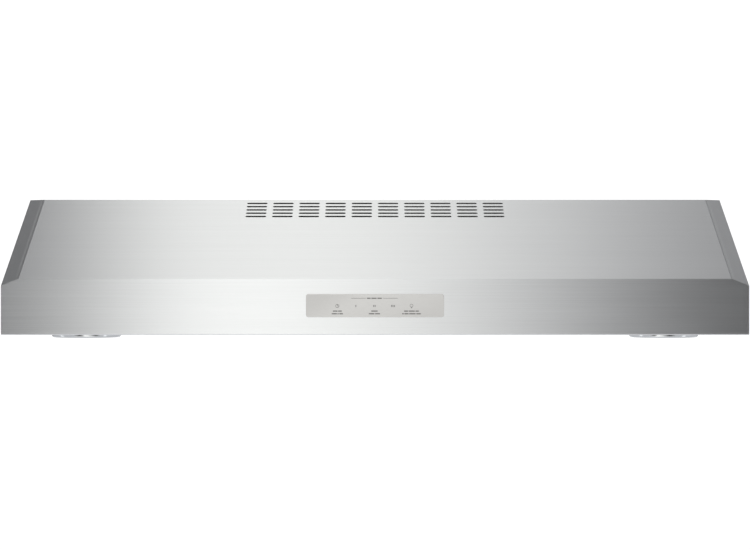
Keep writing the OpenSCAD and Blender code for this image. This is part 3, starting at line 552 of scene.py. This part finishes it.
def prism(mesh, outline, front, back):
    """A closed (x, z) outline made solid between two values of y."""
    a = [mesh.verts.new((x, front, z)) for x, z in outline]
    b = [mesh.verts.new((x, back, z)) for x, z in outline]
    mesh.faces.new(a)
    mesh.faces.new(b[::-1])
    loop_faces(mesh, a, b)


# Control glass

GLASS_ROUND = 2.4 * MM
GLASS_EDGE = 0.2 * MM
PRINT_DEPTH = 0.02 * MM

# The print, in millimetres from the glass's middle: the middle mark, the step from one touch
# place to the next, and the heights of the heading, the marks and the two rows of captions
PRINT_MIDDLE = -0.6
TOUCH_STEP = 18.8
HEADING_Z = 7.4
MARK_Z = -0.4
CAPTION_ROWS = (-5.6, -8.3)
DASH_HEIGHT = 1.2
DASH_GAP = 0.7


def rounded_outline(low, high, radius, inset):
    """An upright rounded rectangle in x and z."""
    x0, x1, z0, z1 = low.x + radius, high.x - radius, low.z + radius, high.z - radius
    r = radius - inset
    return (quarter((x1, z1), r, r, 0) + quarter((x0, z1), r, r, 90)
            + quarter((x0, z0), r, r, 180) + quarter((x1, z0), r, r, 270))


def make_control_glass():
    low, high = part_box("control_glass")
    front = low.y + PRINT_DEPTH
    mesh = bmesh.new()
    loops = []
    for inset, y in ((0, high.y), (0, front + GLASS_EDGE), (0.3 * GLASS_EDGE, front + 0.3 * GLASS_EDGE),
                     (GLASS_EDGE, front)):
        outline = rounded_outline(low, high, GLASS_ROUND, inset)
        loops.append([mesh.verts.new((x, y, z)) for x, z in outline])
    for a, b in zip(loops, loops[1:]):
        loop_faces(mesh, a, b)
    mesh.faces.new(loops[0])
    mesh.faces.new(loops[-1])
    stand_for(add_mesh("glass_panel", mesh), "control_glass")
    make_glass_print((low + high) / 2, low.y, front)


def make_glass_print(centre, front, back):
    """Plain marks: a timer, one to three bars for the speeds, a lamp, and dashes for captions."""
    mesh = bmesh.new()

    def shape(points):
        prism(mesh, [(centre.x + x * MM, centre.z + z * MM) for x, z in points], front, back)

    def bar(x, z, width, height):
        shape([(x - width / 2, z - height / 2), (x + width / 2, z - height / 2),
               (x + width / 2, z + height / 2), (x - width / 2, z + height / 2)])

    def ring(x, z, radius, width, steps=20):
        turns = [math.radians(360 * i / steps) for i in range(steps + 1)]
        outer = [(x + radius * math.cos(t), z + radius * math.sin(t)) for t in turns]
        inner = [(x + (radius - width) * math.cos(t), z + (radius - width) * math.sin(t)) for t in turns]
        for i in range(steps):
            shape([outer[i], outer[i + 1], inner[i + 1], inner[i]])

    def dashes(x, z, widths, gap=DASH_GAP):
        left = x - (sum(widths) + gap * (len(widths) - 1)) / 2
        for width in widths:
            bar(left + width / 2, z, width, DASH_HEIGHT)
            left += width + gap

    timer, lamp = PRINT_MIDDLE - 2 * TOUCH_STEP, PRINT_MIDDLE + 2 * TOUCH_STEP
    for side in (-1, 1):
        bar(PRINT_MIDDLE + side * 16.2, HEADING_Z, width=14.6, height=0.4)
    dashes(PRINT_MIDDLE, HEADING_Z, [3.6, 5.2, 4.4], gap=0.9)
    ring(timer, MARK_Z, radius=1.9, width=0.45)
    bar(timer, MARK_Z + 0.7, width=0.45, height=1.4)
    bar(timer + 0.55, MARK_Z, width=1.1, height=0.45)
    for count in (1, 2, 3):
        for i in range(count):
            place = PRINT_MIDDLE + (count - 2) * TOUCH_STEP
            bar(place + (i - (count - 1) / 2) * 1.5, MARK_Z, width=0.8, height=2)
    ring(lamp, MARK_Z + 0.4, radius=1.7, width=0.4)
    bar(lamp, MARK_Z - 1.75, width=1.2, height=0.8)
    for x, captions in ((timer, ([4.6, 3.6], [5.2, 1.2, 3.6])), (PRINT_MIDDLE, ([6.4], [5.6, 5.0])),
                        (lamp, ([4.2, 6.0, 3.4], [1.6, 4.2, 6.4, 4.6]))):
        for z, widths in zip(CAPTION_ROWS, captions):
            dashes(x, z, widths)
    piece = add_mesh("glass_print", mesh)
    give(piece, MATERIALS["glass_print"])
    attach(piece, BODY_OF["control_glass"])


# Lamps

# The face rises by the bowl's height from the middle to the rim, which rounds up to the side
BOWL_HEIGHT = 0.3 * MM
RIM_WIDTH = 2.5 * MM
RIM_HEIGHT = 4.6 * MM
# From the ring's outside to its upstanding collar, and to the opening for the lens
COLLAR_IN = 8.2 * MM
OPENING_IN = 9 * MM
OPENING_CHAMFER = 0.4 * MM
LENS_WALL = 2.4 * MM
LENS_CHAMFER = 0.3 * MM
LENS_STEPS = 12


def lamp_face(low, start, end, rim, steps):
    """(radius, z) points along the almost flat face that a lamp's lens and ring share."""
    radii = [start + (end - start) * i / steps for i in range(steps + 1)]
    return [(r, low + BOWL_HEIGHT * (r / rim) ** 2) for r in radii]


def make_lamps():
    """Turned rings whose face curves round into the rim, and lenses that carry on the face."""
    for side in SIDES:
        node = f"lamp_ring_{side}"
        low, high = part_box(node)
        pan_low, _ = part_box("bottom_pan")
        centre = (low + high) / 2
        radius = (high.x - low.x) / 2
        rim = radius - RIM_WIDTH
        inner, collar = radius - OPENING_IN, radius - COLLAR_IN
        outline = lamp_face(low.z, inner + OPENING_CHAMFER, rim, rim, steps=8)[:-1]
        outline += quarter((rim, low.z + RIM_HEIGHT), RIM_WIDTH, RIM_HEIGHT - BOWL_HEIGHT, 270, steps=14)
        outline += [(radius, pan_low.z), (collar, pan_low.z), (collar, high.z), (inner, high.z),
                    (inner, outline[0][1] + OPENING_CHAMFER)]
        mesh = bmesh.new()
        lathe(mesh, outline, centre)
        stand_for(add_mesh(f"lamp_bezel_{side}", mesh), node)
        make_lens(side, rim)


def make_lens(side, rim):
    """A turned cap, closed in the middle by one flat face above and one below."""
    node = f"lamp_lens_{side}"
    low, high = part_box(node)
    centre = (low + high) / 2
    radius = (high.x - low.x) / 2
    skirt, hub = radius - LENS_WALL, radius / LENS_STEPS
    outline = lamp_face(low.z, hub, radius - LENS_CHAMFER, rim, LENS_STEPS)
    outline += [(radius, outline[-1][1] + LENS_CHAMFER), (radius, high.z), (skirt, high.z),
                (skirt, low.z + LENS_WALL), (hub, low.z + LENS_WALL)]
    mesh = bmesh.new()
    rings = lathe(mesh, outline, centre)
    mesh.faces.ensure_lookup_table()
    hollow = [face for face in mesh.faces
              if all(abs(radius_of(vertex, centre) - hub) < SAME_POINT for vertex in face.verts)]
    bmesh.ops.delete(mesh, geom=hollow, context="FACES_ONLY")
    mesh.faces.new([ring[0] for ring in rings])
    mesh.faces.new([ring[-1] for ring in rings])
    stand_for(add_mesh(f"lamp_diffuser_{side}", mesh), node)


# Grease filters

DIAMOND_X = 11 * MM
DIAMOND_Y = 5.5 * MM
STRAND = 1.1 * MM
# A strand's width along a diamond's long and its short axis
STRAND_X = 1.6 * STRAND
STRAND_Y = 0.8 * STRAND
STRAND_RISE = 0.35 * MM
LAYER_T = 0.4 * MM
# From the mesh's underside to the lower layer, and from its top down to the upper one
LOWER_LAYER = 0.5 * MM
UPPER_LAYER = 1.0 * MM


def expanded_layer(mesh, low, high, z, shift):
    """One layer of expanded sheet: diamonds whose corners stand up and down in turn.

    Its outer rim, inside the filter's frame, is left open.
    """
    columns = int((high.x - low.x) / DIAMOND_X)
    rows = int((high.y - low.y) / DIAMOND_Y)
    wide, deep = (high.x - low.x) / columns, (high.y - low.y) / rows

    def diamond(cx, cy, half_x, half_y, z_side, z_end):
        return [(cx + half_x, cy, z_side), (cx, cy + half_y, z_end),
                (cx - half_x, cy, z_side), (cx, cy - half_y, z_end)]

    for row in range(2 * rows - 1):
        for column in range(columns - row % 2):
            cx = low.x + (column + 0.5 + 0.5 * (row % 2)) * wide
            cy = low.y + (row + 1) * deep / 2
            up = STRAND_RISE if (row + shift) % 2 else -STRAND_RISE
            outer = diamond(cx, cy, wide / 2, deep / 2, z - up, z + up)
            inner = diamond(cx, cy, wide / 2 - STRAND_X, deep / 2 - STRAND_Y, z - up, z + up)
            loops = [[mesh.verts.new((x, y, height + lift)) for x, y, height in points]
                     for points, lift in ((outer, 0), (inner, 0), (inner, LAYER_T), (outer, LAYER_T))]
            for a, b in zip(loops, loops[1:]):
                loop_faces(mesh, a, b)


def make_filter_meshes():
    for side in SIDES:
        node = f"filter_mesh_{side}"
        low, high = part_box(node)
        mesh = bmesh.new()
        expanded_layer(mesh, low, high, low.z + LOWER_LAYER, 0)
        expanded_layer(mesh, low, high, high.z - UPPER_LAYER, 1)
        stand_for(add_mesh(f"expanded_mesh_{side}", mesh, crease=20), node)


# Latch springs

SPRING_WAVES = 4
SPRING_STEPS = 96
SPRING_T = 0.4 * MM
# What the strip's own thickness takes of the room for its waves
SPRING_ROOM = 1.5 * SPRING_T


def make_springs():
    """Waved strips in the latches' pockets."""
    for side in SIDES:
        node = f"latch_spring_{side}"
        low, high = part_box(node)
        wave = (high.y - low.y - SPRING_ROOM) / 2
        start, length = low.x + SPRING_T, high.x - low.x - 2 * SPRING_T
        mesh = bmesh.new()
        loops = []
        for i in range(SPRING_STEPS + 1):
            turn = math.tau * SPRING_WAVES * i / SPRING_STEPS
            x = start + length * i / SPRING_STEPS
            y = (low.y + high.y) / 2 + wave * math.cos(turn)
            slope = -wave * math.sin(turn) * math.tau * SPRING_WAVES / length
            across = Vector((-slope, 1)).normalized() * SPRING_T / 2
            loops.append([mesh.verts.new((x + face * across.x, y + face * across.y, z))
                          for face, z in ((-1, low.z), (1, low.z), (1, high.z), (-1, high.z))])
        for a, b in zip(loops, loops[1:]):
            loop_faces(mesh, a, b)
        mesh.faces.new(loops[0])
        mesh.faces.new(loops[-1])
        spring = add_mesh(f"wave_spring_{side}", mesh)
        stand_for(spring, node)
        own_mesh(spring)


# Blower wheels

BLADES = 32
BLADE_T = 0.7 * MM
# From the wheel's outside to the blades' inner and outer edges
BLADE_INNER_IN = 9 * MM
BLADE_OUTER_IN = 0.8 * MM
BLADE_STEPS = 6
BLADE_SWEEP = math.radians(15)
HUB_RADIUS = 9 * MM
HUB_LENGTH = 16 * MM
HUB_BEVEL = 2 * MM
BORE_RADIUS = 4 * MM
PLATE_T = 1.2 * MM
RIM_T = 2.2 * MM
RIM_CHAMFER = 0.6 * MM
# How far the plate's edge and the rim reach along the shaft
LIP = 4 * MM
CHAMFER = 1 * MM


def arc_blade(mesh, axis, x0, x1, angle, inner, outer):
    """One forward curved blade from x0 to x1, as a bent strip."""
    faces = []
    for x in (x0, x1):
        points = []
        for side in (0, 1):
            line = []
            for i in range(BLADE_STEPS + 1):
                t = i / BLADE_STEPS
                r = inner + (outer - inner) * t
                turn = angle + BLADE_SWEEP * t * t + side * BLADE_T / r
                line.append((x, axis.y + r * math.cos(turn), axis.z + r * math.sin(turn)))
            points += line if side == 0 else line[::-1]
        faces.append([mesh.verts.new(point) for point in points])
    loop_faces(mesh, *faces)
    for face in faces:
        for i in range(BLADE_STEPS):
            mesh.faces.new((face[i], face[i + 1], face[-i - 2], face[-i - 1]))


def make_wheels():
    """Squirrel cage wheels with curved blades between a back plate and a rim."""
    shaft_low, shaft_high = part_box("motor_shaft")
    axis = (shaft_low + shaft_high) / 2
    for side, sign in (("left", -1), ("right", 1)):
        node = f"impeller_{side}"
        low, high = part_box(node)
        radius = (high.z - low.z) / 2
        near, far = (low.x, high.x) if sign > 0 else (high.x, low.x)
        plate, lip = near + sign * PLATE_T, near + sign * LIP
        hub_end = near + sign * HUB_LENGTH
        mesh = bmesh.new()
        outline = [(BORE_RADIUS, near), (radius - CHAMFER, near), (radius, near + sign * CHAMFER),
                   (radius, lip), (radius - CHAMFER, lip), (radius - PLATE_T, plate),
                   (HUB_RADIUS + HUB_BEVEL, plate), (HUB_RADIUS, plate + sign * HUB_BEVEL),
                   (HUB_RADIUS, hub_end - sign * CHAMFER), (HUB_RADIUS - CHAMFER, hub_end),
                   (BORE_RADIUS, hub_end)]
        turn_about_x(mesh, outline, axis)
        rim = [(radius - RIM_T, far), (radius - RIM_CHAMFER, far), (radius, far - sign * RIM_CHAMFER),
               (radius, far - sign * LIP), (radius - RIM_T, far - sign * LIP)]
        turn_about_x(mesh, rim, axis)
        for i in range(BLADES):
            arc_blade(mesh, axis, plate, far - sign * CHAMFER, math.tau * i / BLADES,
                      radius - BLADE_INNER_IN, radius - BLADE_OUTER_IN)
        stand_for(add_mesh(f"wheel_{side}", mesh, crease=30), node)


def turn_about_x(mesh, outline, axis, steps=64):
    """Turns a closed (radius, x) outline about the shaft."""
    rings = []
    for i in range(steps):
        angle = math.tau * i / steps
        rings.append([mesh.verts.new((x, axis.y + r * math.cos(angle), axis.z + r * math.sin(angle)))
                      for r, x in outline])
    join_round(mesh, rings)


# CAD nodes

# Widths of the rounds, in millimetres
SOFT_EDGES = {
    "front_panel": 0.15, "side_panel_left": 0.15, "side_panel_right": 0.15, "bottom_pan": 0.2,
    "filter_centre_rail": 0.2, "filter_frame_left": 0.4, "filter_frame_right": 0.4,
    "filter_latch_left": 0.4, "filter_latch_right": 0.4, "terminal_block": 0.6,
    "led_driver": 1.2, "control_housing": 0.4, "motor_capacitor": 0.8, "motor_can": 0.8,
    "motor_end_cap": 0.6, "lamp_heatsink_left": 0.3, "lamp_heatsink_right": 0.3,
    "wiring_box": 0.2, "control_board_tray": 0.2, "top_duct_cover": 0.2, "rear_duct_cover": 0.2,
}
EDGE_ANGLE = 40
EDGE_SEGMENTS = 2

# Nodes whose material isn't the one named by their slot
OTHER_LOOKS = {
    # The front sheet takes brushed steel with painted shade in its slots
    "front_panel": "stainless_painted_slot_shade",
    "side_panel_left": "stainless_side", "side_panel_right": "stainless_side",
    # Near black galvanized sheet, painted shade for the insides of the duct and scroll
    "discharge_duct": "galvanized_painted_shade", "blower_scroll": "galvanized_painted_shade",
}


def dress_cad_nodes():
    for name, node in NODES.items():
        give(node, MATERIALS[OTHER_LOOKS.get(name, SLOT_OF[name])])
    for name, width in SOFT_EDGES.items():
        soften(NODES[name], width * MM)


def soften(node, width):
    """A small round on a node's edges, so that they catch the light."""
    bevel = node.modifiers.new("edge", "BEVEL")
    bevel.width = width
    bevel.segments = EDGE_SEGMENTS
    bevel.limit_method = "ANGLE"
    bevel.angle_limit = math.radians(EDGE_ANGLE)
    bevel.harden_normals = True


# Floor, in metres, far below the hood

FLOOR_Z = -5.5
FLOOR_SIZE = 240


def make_floor():
    bpy.ops.mesh.primitive_plane_add(size=FLOOR_SIZE, location=(0, 0, FLOOR_Z))
    floor = bpy.context.object
    floor.name = "floor"
    shader = Shader("pale_floor", (0.93, 0.93, 0.93), 0.0, 0.9, Specular_IOR_Level=0.0)
    shader.tint(shader.mapped(shader.noise((0.5, 0.5, 0.5)), 0.995, 1.005, 0.3, 0.7))
    give(floor, shader.material)
    floor.visible_glossy = False


make_world()
make_tent()
make_floor()
dress_cad_nodes()
make_control_glass()
make_lamps()
make_glints()
make_springs()
make_filter_meshes()
make_wheels()
